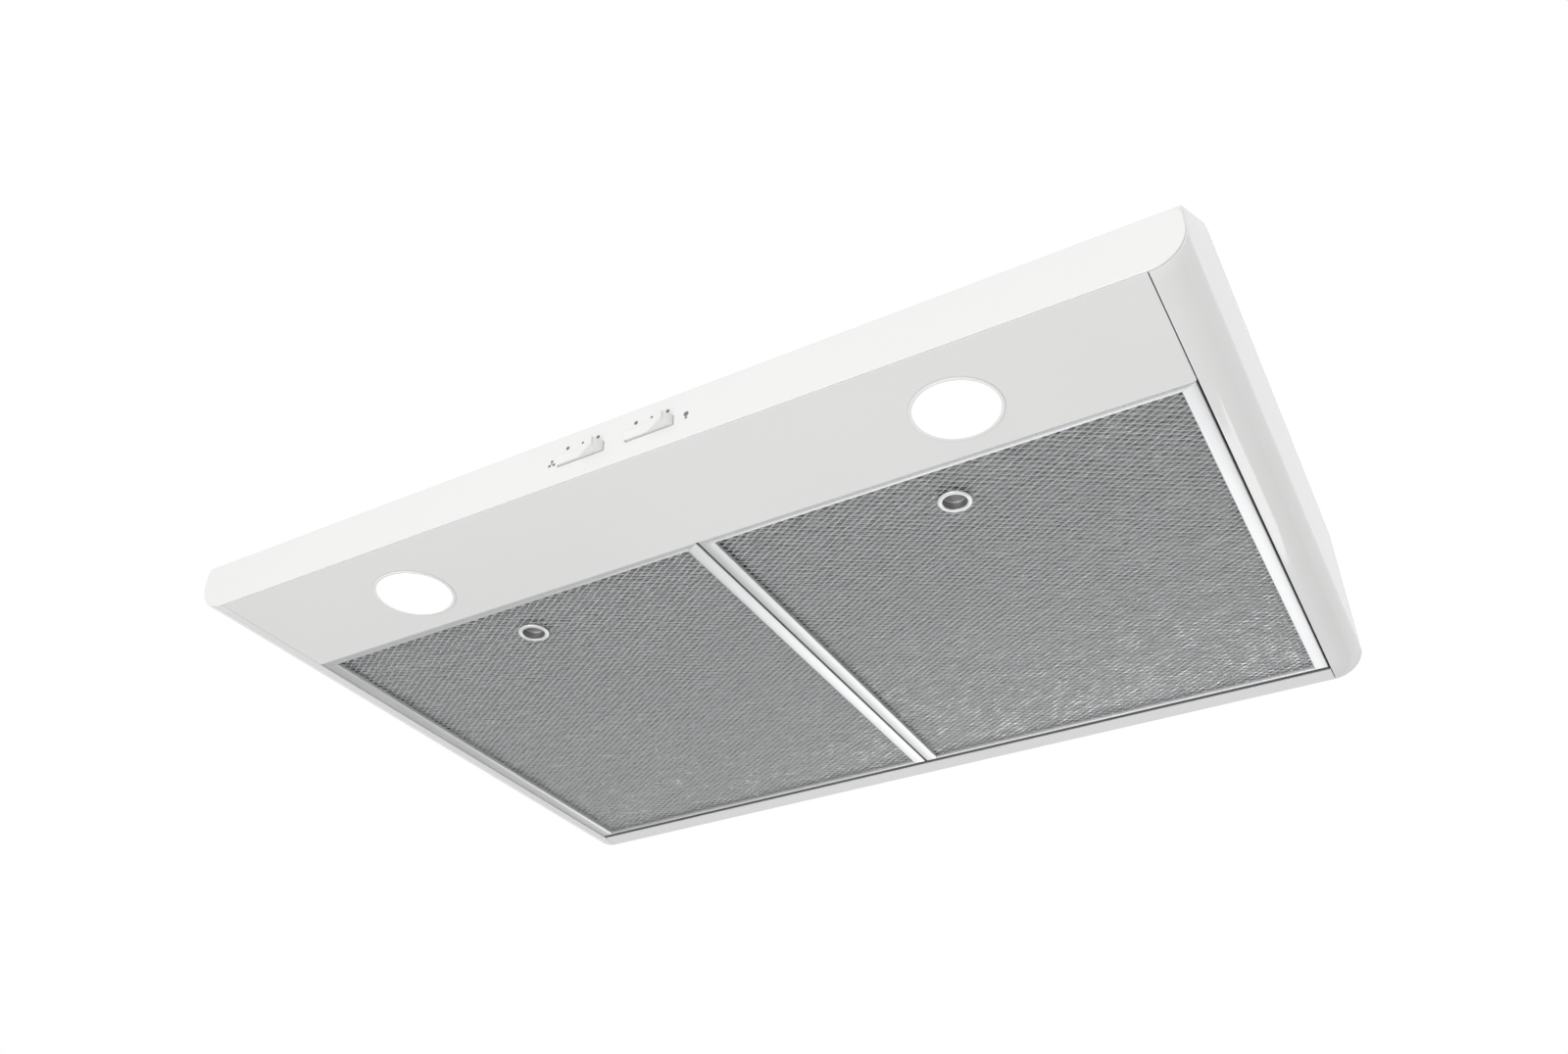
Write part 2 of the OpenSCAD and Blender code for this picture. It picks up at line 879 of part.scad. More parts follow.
module blower_screws() {
    clamped = sheet_t - stack_z - screw_tip_gap;
    color(steel_bare)
    translate([0, 0, stack_z - sheet_t]) blower_screw_spots() mirror([0, 0, 1]) screw(clamped);
}

module collar_screws() {
    color(steel_bare)
    translate([0, 0, stack_z]) collar_screw_spots() mirror([0, 0, 1]) screw(-stack_z - screw_tip_gap);
}

module cover_screws() {
    color(steel_bare)
    translate([0, 0, inlet_z - sheet_t - box_h]) cover_screw_spots() mirror([0, 0, 1]) screw(6);
}

top_panel();
side_panel_left();
side_panel_right();
front_fascia();
light_panel();
rear_panel();
filter_frame_left();
filter_frame_right();
filter_mesh_left();
filter_mesh_right();
filter_pull_left();
filter_pull_right();
filter_springs();
filter_rail();
lamp_bezel_left();
lamp_bezel_right();
lamp_lens_left();
lamp_lens_right();
lamp_can_left();
lamp_can_right();
lamp_bulb_left();
lamp_bulb_right();
lamp_socket_left();
lamp_socket_right();
rocker_left();
rocker_right();
switch_body_left();
switch_body_right();
switch_pin_left();
switch_pin_right();
blower_scroll();
blower_cheek_left();
blower_cheek_right();
blower_wheel();
motor_shaft();
motor_body();
motor_bracket();
duct_collar();
damper_flap();
damper_pin();
inlet_plate();
wiring_box();
wiring_cover();
cable_bushing();
blower_screws();
collar_screws();
cover_screws();
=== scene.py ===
"""White under cabinet range hood, hung and seen from in front and below, in metres in the row frame."""
import json
import math
import random
from contextlib import contextmanager

import bmesh
import bpy
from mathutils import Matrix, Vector


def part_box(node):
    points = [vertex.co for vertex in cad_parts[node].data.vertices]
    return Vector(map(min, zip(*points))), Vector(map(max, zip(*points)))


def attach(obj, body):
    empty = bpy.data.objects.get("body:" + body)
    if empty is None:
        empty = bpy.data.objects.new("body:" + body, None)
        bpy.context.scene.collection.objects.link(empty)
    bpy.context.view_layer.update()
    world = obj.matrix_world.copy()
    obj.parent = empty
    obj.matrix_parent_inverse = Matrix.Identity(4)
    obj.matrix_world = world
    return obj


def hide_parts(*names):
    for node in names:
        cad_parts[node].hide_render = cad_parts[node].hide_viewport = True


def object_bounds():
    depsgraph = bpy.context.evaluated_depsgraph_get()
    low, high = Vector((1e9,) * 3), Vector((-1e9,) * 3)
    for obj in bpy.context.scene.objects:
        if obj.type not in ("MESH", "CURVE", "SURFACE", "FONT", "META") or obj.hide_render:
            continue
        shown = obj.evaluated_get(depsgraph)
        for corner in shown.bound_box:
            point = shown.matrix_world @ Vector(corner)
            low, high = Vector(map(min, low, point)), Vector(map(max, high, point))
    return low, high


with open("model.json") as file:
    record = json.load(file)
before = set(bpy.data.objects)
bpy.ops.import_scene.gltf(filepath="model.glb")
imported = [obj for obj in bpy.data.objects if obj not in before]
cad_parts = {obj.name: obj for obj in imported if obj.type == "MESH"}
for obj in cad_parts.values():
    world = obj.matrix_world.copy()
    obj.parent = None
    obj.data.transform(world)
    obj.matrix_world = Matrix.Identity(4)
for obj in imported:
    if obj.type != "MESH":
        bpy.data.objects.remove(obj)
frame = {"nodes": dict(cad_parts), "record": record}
cad_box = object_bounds()

MM = 0.001
WELD = 1e-6
SIDES = (("left", -1), ("right", 1))


# ---- the object's own dimensions, from the CAD nodes ----

fascia_lo, fascia_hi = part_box("front_fascia")
side_lo, side_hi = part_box("side_panel_right")
frame_lo, frame_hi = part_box("filter_frame_right")
mesh_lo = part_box("filter_mesh_right")[0]
pull_lo, pull_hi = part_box("filter_pull_right")
bezel_lo, bezel_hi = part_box("lamp_bezel_right")
lens_lo, lens_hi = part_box("lamp_lens_right")

Z_LOW = fascia_lo.z
Y_FRONT = fascia_lo.y
Y_SHELL_FRONT = side_lo.y
Y_SHELL_REAR = side_hi.y
HALF_W = side_hi.x
FASCIA_H = fascia_hi.z - fascia_lo.z
CORNER_R = 25 * MM
SHEET = 1.2 * MM
SLOPE = math.radians(40)
BEND_R = 45 * MM
BEND_END = Y_FRONT + (-Z_LOW - FASCIA_H) / math.tan(SLOPE) + BEND_R * math.tan(SLOPE / 2)
BEND_START = BEND_END - BEND_R * math.sin(SLOPE)


# ---- small tools ----

def new_object(name, data):
    """A mesh, light or camera as an object of the scene."""
    obj = bpy.data.objects.new(name, data)
    bpy.context.scene.collection.objects.link(obj)
    return obj


def mesh_object(name, verts, faces, smooth=True):
    mesh = bpy.data.meshes.new(name)
    mesh.from_pydata([tuple(v) for v in verts], [], faces)
    mesh.update()
    if smooth:
        mesh.shade_smooth()
    return new_object(name, mesh)


@contextmanager
def editing(mesh):
    """The mesh opened for bmesh edits, and written back after them."""
    bm = bmesh.new()
    bm.from_mesh(mesh)
    yield bm
    bm.to_mesh(mesh)
    bm.free()


def recalc_normals(obj):
    with editing(obj.data) as bm:
        bmesh.ops.recalc_face_normals(bm, faces=bm.faces)


def smooth_by_angle(obj, degrees=40):
    """Smooth shading, with sharp edges where faces meet at more than the angle."""
    limit = math.radians(degrees)
    with editing(obj.data) as bm:
        for face in bm.faces:
            face.smooth = True
        for edge in bm.edges:
            edge.smooth = len(edge.link_faces) == 2 and edge.calc_face_angle(0) < limit


def bevel(obj, width, segments, angle=35):
    mod = obj.modifiers.new("soft_edges", "BEVEL")
    mod.width = width
    mod.segments = segments
    mod.limit_method = "ANGLE"
    mod.angle_limit = math.radians(angle)


def thicken(obj, thickness, offset=-1):
    """Gives a bare surface its sheet's thickness, inwards or, with offset 0, half to each side."""
    mod = obj.modifiers.new("sheet", "SOLIDIFY")
    mod.thickness = thickness
    mod.offset = offset


def place(obj, body, slot, *nodes, finish=None):
    """The piece takes the material of its finish, stands for its CAD nodes and rides on its body.

    The finish is the slot's own material unless another is named.
    """
    obj.data.materials.clear()
    obj.data.materials.append(MATS[finish or slot])
    if nodes:
        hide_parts(*nodes)
    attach(obj, body)


def softened_copy(node, name, width, segments):
    """A CAD node's own shape with its sharp edges rounded."""
    mesh = frame["nodes"][node].data.copy()
    with editing(mesh) as bm:
        bmesh.ops.remove_doubles(bm, verts=bm.verts, dist=WELD)
        bmesh.ops.dissolve_limit(bm, angle_limit=math.radians(0.5), verts=bm.verts, edges=bm.edges)
    obj = new_object(name, mesh)
    smooth_by_angle(obj)
    bevel(obj, width, segments)
    return obj


def lathe(name, profile, centre, steps=72):
    """Turns an (r, z) profile about a vertical axis. It may end on the axis or close on itself."""
    count = len(profile)
    verts, faces = [], []
    for i in range(steps):
        a = 2 * math.pi * i / steps
        for r, z in profile:
            verts.append((centre[0] + r * math.cos(a), centre[1] + r * math.sin(a), centre[2] + z))
    for i in range(steps):
        j = (i + 1) % steps
        for k in range(count - 1):
            faces.append((i * count + k, j * count + k, j * count + k + 1, i * count + k + 1))
    obj = mesh_object(name, verts, faces)
    with editing(obj.data) as bm:
        bmesh.ops.remove_doubles(bm, verts=bm.verts, dist=WELD)
        bmesh.ops.recalc_face_normals(bm, faces=bm.faces)
    smooth_by_angle(obj, degrees=50)
    return obj


def arc(cx, cz, r, start, end, steps):
    """Points on an arc, angles in degrees."""
    points = []
    for i in range(steps + 1):
        a = math.radians(start + (end - start) * i / steps)
        points.append((cx + r * math.cos(a), cz + r * math.sin(a)))
    return points


def spaced(start, end, steps):
    """Even steps from the start up to, but without, the end."""
    return [start + (end - start) * i / steps for i in range(steps)]


def low_centre(sign, lo, hi):
    """Middle of the underside of a right side node's box, mirrored by the sign."""
    return sign * (lo.x + hi.x) / 2, (lo.y + hi.y) / 2, lo.z


# ---- materials ----

def socket(mat, name):
    return mat.node_tree.nodes["Principled BSDF"].inputs[name]


def material(name, color, rough, metallic=0.0):
    mat = bpy.data.materials.new(name)
    mat.use_nodes = True
    socket(mat, "Base Color").default_value = (*color, 1.0)
    socket(mat, "Roughness").default_value = rough
    socket(mat, "Metallic").default_value = metallic
    return mat


def add(mat, kind, **inputs):
    node = mat.node_tree.nodes.new(kind)
    for key, value in inputs.items():
        node.inputs[key.replace("_", " ")].default_value = value
    return node


def link(mat, source, target):
    mat.node_tree.links.new(source, target)


def surface_coordinates(mat, scale=(1, 1, 1)):
    """Object coordinates in metres, stretched by scale."""
    coords = add(mat, "ShaderNodeTexCoord")
    mapping = add(mat, "ShaderNodeMapping", Scale=scale)
    link(mat, coords.outputs["Object"], mapping.inputs["Vector"])
    return mapping.outputs["Vector"]


def noise(mat, vector, scale, detail=3.0):
    tex = add(mat, "ShaderNodeTexNoise", Scale=scale, Detail=detail)
    link(mat, vector, tex.inputs["Vector"])
    return tex.outputs["Fac"]


def dimmed(color, share):
    return tuple(c * share for c in color)


def vary_color(mat, fac, low, high):
    """Blends from the low to the high colour over the middle of the pattern's range."""
    node = add(mat, "ShaderNodeValToRGB")
    start, end = node.color_ramp.elements
    start.position = 0.3
    start.color = (*low, 1.0)
    end.position = 0.7
    end.color = (*high, 1.0)
    link(mat, fac, node.inputs["Fac"])
    link(mat, node.outputs["Color"], socket(mat, "Base Color"))


def vary_roughness(mat, fac, low, high):
    node = add(mat, "ShaderNodeMapRange", To_Min=low, To_Max=high)
    link(mat, fac, node.inputs["Value"])
    link(mat, node.outputs["Result"], socket(mat, "Roughness"))


def add_bump(mat, height, strength, distance):
    node = add(mat, "ShaderNodeBump", Strength=strength, Distance=distance)
    link(mat, height, node.inputs["Height"])
    link(mat, node.outputs["Normal"], socket(mat, "Normal"))


def enamel(name, color):
    """Gloss baked enamel: a fine orange peel under a clear, slightly soft gloss."""
    mat = material(name, color, rough=0.32)
    socket(mat, "Coat Weight").default_value = 0.5
    socket(mat, "Coat Roughness").default_value = 0.06
    socket(mat, "Specular IOR Level").default_value = 0.1
    vector = surface_coordinates(mat)
    vary_color(mat, noise(mat, vector, scale=9.0, detail=2.0), dimmed(color, 0.985), color)
    vary_roughness(mat, noise(mat, vector, scale=60.0), low=0.28, high=0.36)
    add_bump(mat, noise(mat, vector, scale=420.0, detail=2.0), strength=0.12, distance=0.4 * MM)
    return mat


ALONG_X, ALONG_Y, ALONG_Z = range(3)


def brushed(name, color, rough, axis, metallic=1.0):
    """Rolled or brushed metal, its grain drawn out along one axis."""
    mat = material(name, color, rough, metallic)
    scale = [900.0, 900.0, 900.0]
    scale[axis] = 18.0
    grain = noise(mat, surface_coordinates(mat, tuple(scale)), scale=1.0, detail=4.0)
    vary_color(mat, grain, dimmed(color, 0.88), color)
    vary_roughness(mat, grain, low=rough * 0.8, high=rough * 1.25)
    add_bump(mat, grain, strength=0.15, distance=0.2 * MM)
    return mat


def galvanised(name, color):
    """Hot dipped sheet with its patchwork of spangles."""
    mat = material(name, color, rough=0.42, metallic=1.0)
    cells = add(mat, "ShaderNodeTexVoronoi", Scale=150.0)
    link(mat, surface_coordinates(mat), cells.inputs["Vector"])
    split = add(mat, "ShaderNodeSeparateColor")
    link(mat, cells.outputs["Color"], split.inputs["Color"])
    vary_color(mat, split.outputs["Red"], dimmed(color, 0.86), color)
    vary_roughness(mat, split.outputs["Green"], low=0.32, high=0.5)
    return mat


def plastic(name, color, rough, grain=0.1):
    """Moulded plastic with a fine grain."""
    mat = material(name, color, rough)
    vector = surface_coordinates(mat)
    vary_color(mat, noise(mat, vector, scale=14.0, detail=2.0), dimmed(color, 0.96), color)
    vary_roughness(mat, noise(mat, vector, scale=90.0), low=rough * 0.9, high=rough * 1.1)
    add_bump(mat, noise(mat, vector, scale=700.0, detail=2.0), strength=grain, distance=0.2 * MM)
    return mat


def lit_glass(name, color, glow):
    """Frosted glass with a lamp lit behind it."""
    mat = material(name, color, rough=0.25)
    socket(mat, "Emission Color").default_value = (1.0, 0.99, 0.97, 1.0)
    socket(mat, "Emission Strength").default_value = glow
    vector = surface_coordinates(mat)
    add_bump(mat, noise(mat, vector, scale=900.0, detail=2.0), strength=0.2, distance=0.3 * MM)
    return mat


MATS = {
    "white_enamel": enamel("white_enamel", (0.70, 0.70, 0.695)),
    "filter_aluminium": brushed("filter_aluminium", (0.72, 0.725, 0.73), rough=0.42, axis=ALONG_Y),
    "mesh_aluminium": brushed("mesh_aluminium", (0.84, 0.845, 0.85), rough=0.31, axis=ALONG_X),
    # Painted shade: the pad is the mesh's aluminium darkened for the shade deep inside the filter.
    "pad_aluminium": brushed("pad_aluminium", (0.27, 0.275, 0.28), rough=0.42, axis=ALONG_X),
    "ring_aluminium": brushed("ring_aluminium", (0.80, 0.80, 0.80), rough=0.4, axis=ALONG_X, metallic=0.6),
    # Painted shade: the cup's inside is the ring's aluminium darkened for the shade in its hollow.
    "cup_aluminium_painted_shade": brushed("cup_aluminium_painted_shade", (0.42, 0.42, 0.425), rough=0.5, axis=ALONG_Z),
    "galvanised": galvanised("galvanised", (0.66, 0.68, 0.70)),
    "zinc_screw": brushed("zinc_screw", (0.72, 0.73, 0.74), rough=0.35, axis=ALONG_Z),
    "spring_steel": brushed("spring_steel", (0.55, 0.56, 0.58), rough=0.3, axis=ALONG_X),
    "shaft_steel": brushed("shaft_steel", (0.62, 0.63, 0.64), rough=0.25, axis=ALONG_X),
    "white_plastic": plastic("white_plastic", (0.72, 0.72, 0.71), rough=0.35),
    "bezel_white": plastic("bezel_white", (0.75, 0.75, 0.745), rough=0.35),
    "black_plastic": plastic("black_plastic", (0.035, 0.035, 0.038), rough=0.5, grain=0.25),
    "lens_glass": lit_glass("lens_glass", (0.95, 0.95, 0.94), glow=0.9),
    "bulb_glass": lit_glass("bulb_glass", (0.9, 0.9, 0.88), glow=1.2),
    "reflector": brushed("reflector", (0.85, 0.85, 0.85), rough=0.3, axis=ALONG_Z),
    "socket_ceramic": plastic("socket_ceramic", (0.82, 0.80, 0.75), rough=0.2),
    "motor_steel": enamel("motor_steel", (0.05, 0.052, 0.055)),
    "print_grey": plastic("print_grey", (0.16, 0.16, 0.165), rough=0.6),
}


def dress_cad_nodes():
    """Every CAD node gets its slot's material. The ones that a piece stands for are hidden later."""
    slot_of = {s["node"]: s["material_slot"] for s in frame["record"]["subparts"]}
    for name, obj in frame["nodes"].items():
        obj.data.materials.clear()
        obj.data.materials.append(MATS[slot_of[name]])


# ---- shell ----

FLANGE_H = 8 * MM
HEM_R = 0.8 * MM
SHEET_EDGE_R = 0.4 * MM
WALL_ROWS = 7

# Each plate: its CAD node, its own name, and how far and in how many steps its edges are rounded.
PLATES = (("front_fascia", "fascia_plate", 0.7 * MM, 3),
          ("light_panel", "light_plate", 0.4 * MM, 2),
          ("rear_panel", "rear_plate", 0.4 * MM, 2),
          ("top_panel", "top_plate", 0.3 * MM, 2))


def roof_z(y):
    """Height of the outer roof line above a point: front slope, bend, flat top."""
    if y >= BEND_END:
        return 0.0
    if y > BEND_START:
        return -BEND_R + math.sqrt(BEND_R ** 2 - (y - BEND_END) ** 2)
    return Z_LOW + FASCIA_H + (y - Y_FRONT) * math.tan(SLOPE)


def side_stations():
    """Places along the depth where the side shell's section is drawn."""
    slope = spaced(Y_SHELL_FRONT, BEND_START, 8)
    bend = spaced(BEND_START, BEND_END, 14)
    flat = spaced(BEND_END, Y_SHELL_REAR, 16)
    return slope + bend + flat + [Y_SHELL_REAR]


def corner_section():
    """Return flange, small hem and rolled lower corner, as (x, z) points up to the wall's foot."""
    seam_x = HALF_W - CORNER_R
    section = [(seam_x, Z_LOW + FLANGE_H), (seam_x, Z_LOW + HEM_R)]
    section += arc(seam_x + HEM_R, Z_LOW + HEM_R, HEM_R, 180, 270, 4)[1:]
    section += arc(seam_x + HEM_R, Z_LOW + CORNER_R, CORNER_R, -90, 0, 24)[1:]
    return [(min(x, HALF_W), z) for x, z in section]


def side_shell(sign, name):
    """Return flange, rolled lower corner and wall in one folded sheet."""
    section = corner_section()
    foot_z = section[-1][1]
    stations = side_stations()
    cols = len(section) + WALL_ROWS
    verts, faces = [], []
    for y in stations:
        verts += [(sign * x, y, z) for x, z in section]
        for k in range(1, WALL_ROWS + 1):
            verts.append((sign * HALF_W, y, foot_z + (roof_z(y) - foot_z) * k / WALL_ROWS))
    for i in range(len(stations) - 1):
        for k in range(cols - 1):
            a = i * cols + k
            faces.append((a, a + 1, a + cols + 1, a + cols))
    obj = mesh_object(name, verts, faces)
    recalc_normals(obj)
    if obj.data.polygons[-1].normal.x * sign < 0:
        obj.data.flip_normals()
    thicken(obj, SHEET)
    bevel(obj, SHEET_EDGE_R, segments=2, angle=60)
    return obj


def build_shell():
    for side, sign in SIDES:
        place(side_shell(sign, f"shell_{side}"), "hood", "white_enamel", f"side_panel_{side}")
    for node, name, softness, segments in PLATES:
        place(softened_copy(node, name, softness, segments), "hood", "white_enamel", node)


# ---- filter frames ----

BORDER_SIDE = 10.3 * MM
BORDER_FRONT = 6.5 * MM
REAR_WALL = 1.6 * MM
CHANNEL_WALL = 0.35 * MM
CHANNEL_LIP = 3.4 * MM
MITRE_GAP = 0.12 * MM
TAB_L = 11 * MM
TAB_HALF_W = 10 * MM
TAB_OVERLAP = 2 * MM
TAB_CORNER = 2 * MM
TAB_T = 0.8 * MM
TAB_EDGE_R = 0.2 * MM
TAB_SPREAD = 110 * MM


def channel_section(border):
    """A folded channel's section: distance in from its outer edge, height above its bottom."""
    h = frame_hi.z - frame_lo.z
    soft = 0.7 * MM
    nip = 0.2 * MM
    points = [(border, h)]
    points += [(soft, h), (nip, h - nip), (0, h - soft)]
    points += [(0, soft), (nip, nip), (soft, 0)]
    points += [(border - soft, 0), (border - nip, nip), (border, soft)]
    points += [(border, CHANNEL_LIP)]
    return points


def border_runs():
    """Start and end sections of the four mitred borders: front, rear, inner side and outer side."""
    x0, x1 = frame_lo.x, frame_hi.x
    y0, y1 = frame_lo.y, frame_hi.y - TAB_L
    side_s, front_s, rear_s = (channel_section(b) for b in (BORDER_SIDE, BORDER_FRONT, REAR_WALL))
    runs = []
    for section, edge, inward in ((front_s, y0, 1), (rear_s, y1, -1)):
        start = [(x0 + s[0] + MITRE_GAP, edge + inward * p[0], p[1]) for s, p in zip(side_s, section)]
        end = [(x1 - s[0] - MITRE_GAP, edge + inward * p[0], p[1]) for s, p in zip(side_s, section)]
        runs.append((start, end))
    for edge, inward in ((x0, 1), (x1, -1)):
        start = [(edge + inward * s[0], y0 + p[0] + MITRE_GAP, s[1]) for s, p in zip(side_s, front_s)]
        end = [(edge + inward * s[0], y1 - p[0] - MITRE_GAP, s[1]) for s, p in zip(side_s, rear_s)]
        runs.append((start, end))
    return runs


def filter_frame(sign, side):
    """Four mitred lengths of folded channel, with a hairline at each mitre."""
    verts, faces = [], []
    for start, end in border_runs():
        base = len(verts)
        count = len(start)
        verts += [(sign * x, y, frame_lo.z + z) for x, y, z in start + end]
        for k in range(count - 1):
            faces.append((base + k, base + k + 1, base + count + k + 1, base + count + k))
    obj = mesh_object(f"filter_channel_{side}", verts, faces)
    recalc_normals(obj)
    smooth_by_angle(obj, degrees=50)
    thicken(obj, CHANNEL_WALL)
    return obj


def tab_outline():
    """One tongue from above, its root's middle at the origin."""
    tip = TAB_HALF_W - TAB_CORNER
    shoulder = TAB_L - TAB_CORNER
    right = [(TAB_HALF_W, -TAB_OVERLAP), (TAB_HALF_W, shoulder), (tip, TAB_L)]
    left = [(-tip, TAB_L), (-TAB_HALF_W, shoulder)]
    return [(-TAB_HALF_W, -TAB_OVERLAP)] + right + left


def filter_tabs(sign, side):
    """The two small tongues at the rear that reach over the hood's rear lip."""
    middle = (frame_lo.x + frame_hi.x) / 2
    outline = tab_outline()
    count = len(outline)
    verts, faces = [], []
    for spot in (-TAB_SPREAD, TAB_SPREAD):
        base = len(verts)
        for z in (frame_hi.z - TAB_T, frame_hi.z):
            verts += [(sign * (middle + spot + x), frame_hi.y - TAB_L + y, z) for x, y in outline]
        faces += [tuple(range(base, base + count)), tuple(range(base + count, base + 2 * count))]
        for i in range(count):
            j = (i + 1) % count
            faces.append((base + i, base + j, base + count + j, base + count + i))
    obj = mesh_object(f"filter_tabs_{side}", verts, faces, smooth=False)
    recalc_normals(obj)
    bevel(obj, TAB_EDGE_R, segments=2)
    return obj


# ---- filter pads ----

MESH_INSET = 2.4 * MM
FOIL = 0.3 * MM
KNOT_SHARE = 0.04
KNOT_STRAY = 0.12
CUP_CLEARANCE = 9.6 * MM

# The layers' heights are above the CAD pad's underside. A cell is one diamond's width and depth.
FACE_LAYER = {"cell": (8.8 * MM, 5.4 * MM), "strand": 0.9 * MM, "tilt": -0.12 * MM, "height": 0.6 * MM}
MIDDLE_LAYER = {"cell": (8.8 * MM, 5.4 * MM), "strand": 0.8 * MM, "tilt": 0.1 * MM, "height": 1.7 * MM}
PAD_HEIGHT = 3 * MM


def cup_centre():
    return Vector(((pull_lo.x + pull_hi.x) / 2, (pull_lo.y + pull_hi.y) / 2))


def mesh_field():
    """Corners of the right filter's mesh."""
    lo = Vector((frame_lo.x + MESH_INSET, frame_lo.y + MESH_INSET))
    hi = Vector((frame_hi.x - MESH_INSET, frame_hi.y - TAB_L - REAR_WALL / 2))
    return lo, hi


def clear_of_cup(x, y):
    """The point itself, or the nearest one outside the cup's hole."""
    offset = Vector((x, y)) - cup_centre()
    if 0 < offset.length < CUP_CLEARANCE:
        offset *= CUP_CLEARANCE / offset.length
    return cup_centre() + offset


def mesh_knots(cell, rng):
    """Places of the knots in a lattice of diamonds, a little uneven, keyed by column and row."""
    lo, hi = mesh_field()
    long_w, short_w = cell
    cols = int((hi.x - lo.x) / long_w)
    rows = int((hi.y - lo.y) / (short_w / 2))
    pitch_x = (hi.x - lo.x) / (cols + 0.5)
    pitch_y = (hi.y - lo.y) / (rows + 1)
    cut_out = 0.6 * CUP_CLEARANCE
    knots = {}
    for j in range(rows + 1):
        for i in range(cols):
            x = lo.x + pitch_x * (i + 0.5 + 0.5 * (j % 2) + rng.uniform(-KNOT_STRAY, KNOT_STRAY))
            y = lo.y + pitch_y * (j + 0.5 + rng.uniform(-KNOT_STRAY, KNOT_STRAY))
            if (Vector((x, y)) - cup_centre()).length > cut_out:
                knots[i, j] = clear_of_cup(x, y)
    return knots, pitch_x


def expanded_mesh(name, sign, layer):
    """Slit and stretched sheet: a lattice of diamonds whose strands all lean the same way.

    A knot has six vertices, three down its left edge and three down its right.
    """
    z = mesh_lo.z + layer["height"]
    half_strand = layer["strand"] / 2
    rng = random.Random(name)
    knots, pitch = mesh_knots(layer["cell"], rng)
    half_knot = pitch * KNOT_SHARE
    first, verts, faces = {}, [], []
    for key, (x, y) in knots.items():
        b = first[key] = len(verts)
        lean = layer["tilt"] * rng.uniform(0.5, 1.5)
        for dx in (-half_knot, half_knot):
            for dy, dz in ((half_strand, lean), (0, 0), (-half_strand, -lean)):
                verts.append((sign * (x + dx), y + dy, z + dz))
        faces += [(b, b + 1, b + 4, b + 3), (b + 1, b + 2, b + 5, b + 4)]
    for (i, j), a in first.items():
        column = i + 1 if j % 2 else i
        if (column, j + 1) in first:
            b = first[column, j + 1]
            faces.append((a + 3, a + 4, b + 2, b + 1))
        if (column, j - 1) in first:
            b = first[column, j - 1]
            faces.append((a + 4, a + 5, b + 1, b))
    obj = mesh_object(name, verts, faces, smooth=False)
    recalc_normals(obj)
    thicken(obj, FOIL, offset=0)
    return obj


def crushed_pad(name, sign):
    """The pad's inner layers together: crushed foil that nothing shows through, in a dark finish that is
    painted shade.
    """
    lo, hi = mesh_field()
    rng = random.Random(name)
    z = mesh_lo.z + PAD_HEIGHT
    crush = 0.7 * MM
    pitch = 3.2 * MM
    cols = int((hi.x - lo.x) / pitch)
    rows = int((hi.y - lo.y) / pitch)

    def spot(i, j):
        return lo.x + (hi.x - lo.x) * i / cols, lo.y + (hi.y - lo.y) * j / rows

    verts, faces = [], []
    for j in range(rows + 1):
        for i in range(cols + 1):
            x, y = clear_of_cup(*spot(i, j))
            verts.append((sign * x, y, z + rng.uniform(-crush, crush)))
    for j in range(rows):
        for i in range(cols):
            a = j * (cols + 1) + i
            if (Vector(spot(i + 0.5, j + 0.5)) - cup_centre()).length > CUP_CLEARANCE:
                faces.append((a, a + 1, a + cols + 2, a + cols + 1))
    obj = mesh_object(name, verts, faces, smooth=False)
    recalc_normals(obj)
    thicken(obj, FOIL)
    return obj


# ---- filter pulls ----

PULL_BORE = 8.5 * MM
PULL_WALL = 0.8 * MM
PULL_RING_H = 1.6 * MM
CUP_START = 0.6 * MM


def pull_ring(sign, side):
    """The rolled ring round the fingertip cup."""
    outer = (pull_hi.x - pull_lo.x) / 2
    mid = (outer + PULL_BORE) / 2
    half = (outer - PULL_BORE) / 2
    chamfer = 0.4 * MM
    roll = 0.95 * MM
    profile = [(outer - chamfer, PULL_RING_H), (outer, PULL_RING_H - chamfer)]
    profile += [(mid + half * math.cos(a), roll - roll * math.sin(a))
                for a in (math.radians(d) for d in range(0, 181, 15))]
    profile += [(PULL_BORE, PULL_RING_H), (outer - chamfer, PULL_RING_H)]
    return lathe(f"pull_ring_{side}", profile, low_centre(sign, pull_lo, pull_hi))


def pull_cup(sign, side, name, wall, start):
    """One side of the drawn cup: its inside, or with the wall added the outside seen from above."""
    r = PULL_BORE + wall
    depth = pull_hi.z - pull_lo.z - PULL_WALL + wall
    corner = 1.4 * MM
    flat_r = 3 * MM
    profile = [(r, start), (r, depth - corner)]
    profile += arc(r - corner, depth - corner, corner, 0, 90, 5)[1:]
    profile += [(flat_r, depth), (0, depth)]
    return lathe(f"{name}_{side}", profile, low_centre(sign, pull_lo, pull_hi))


